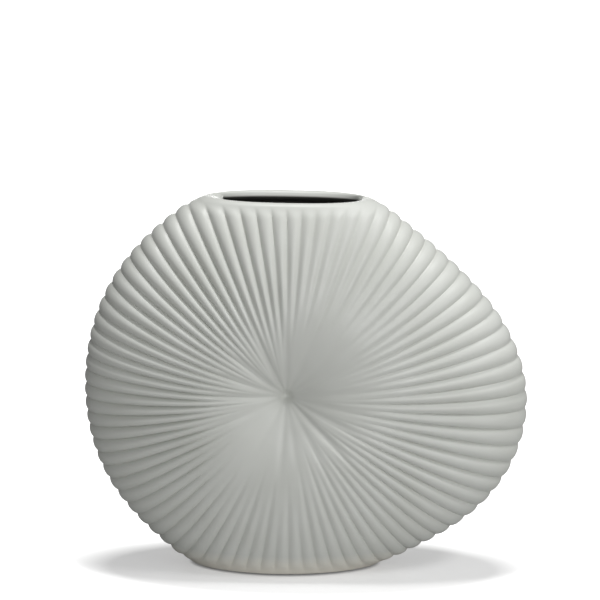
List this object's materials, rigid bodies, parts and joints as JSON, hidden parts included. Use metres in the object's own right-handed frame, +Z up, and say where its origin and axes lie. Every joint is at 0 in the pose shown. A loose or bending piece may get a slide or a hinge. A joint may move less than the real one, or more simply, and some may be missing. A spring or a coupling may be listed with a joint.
{
  "type": "vase",
  "caption": "Flat ribbed ceramic vase: a lens-shaped disc on edge, ribs fanning out of a dimple on each face, with a long lens-shaped mouth and a flat foot.",
  "frame": {"origin": "on the surface that the vase stands on, under the middle of its whole width and depth", "axes": "+Z up, +X to the right of the front face along the width, +Y from the front face to the back face"},
  "size_m": [0.3515, 0.0942, 0.304],
  "materials": {
    "white_glaze": "satin-matt off-white glaze",
    "dark_glaze": "satin near-black glaze",
    "felt": "pressed dark felt"
  },
  "bodies": {
    "root": {"vase_body": "white_glaze", "interior_glaze": "dark_glaze", "felt_pad_front_left": "felt", "felt_pad_front_right": "felt", "felt_pad_back_left": "felt", "felt_pad_back_right": "felt"}
  },
  "joints": []
}
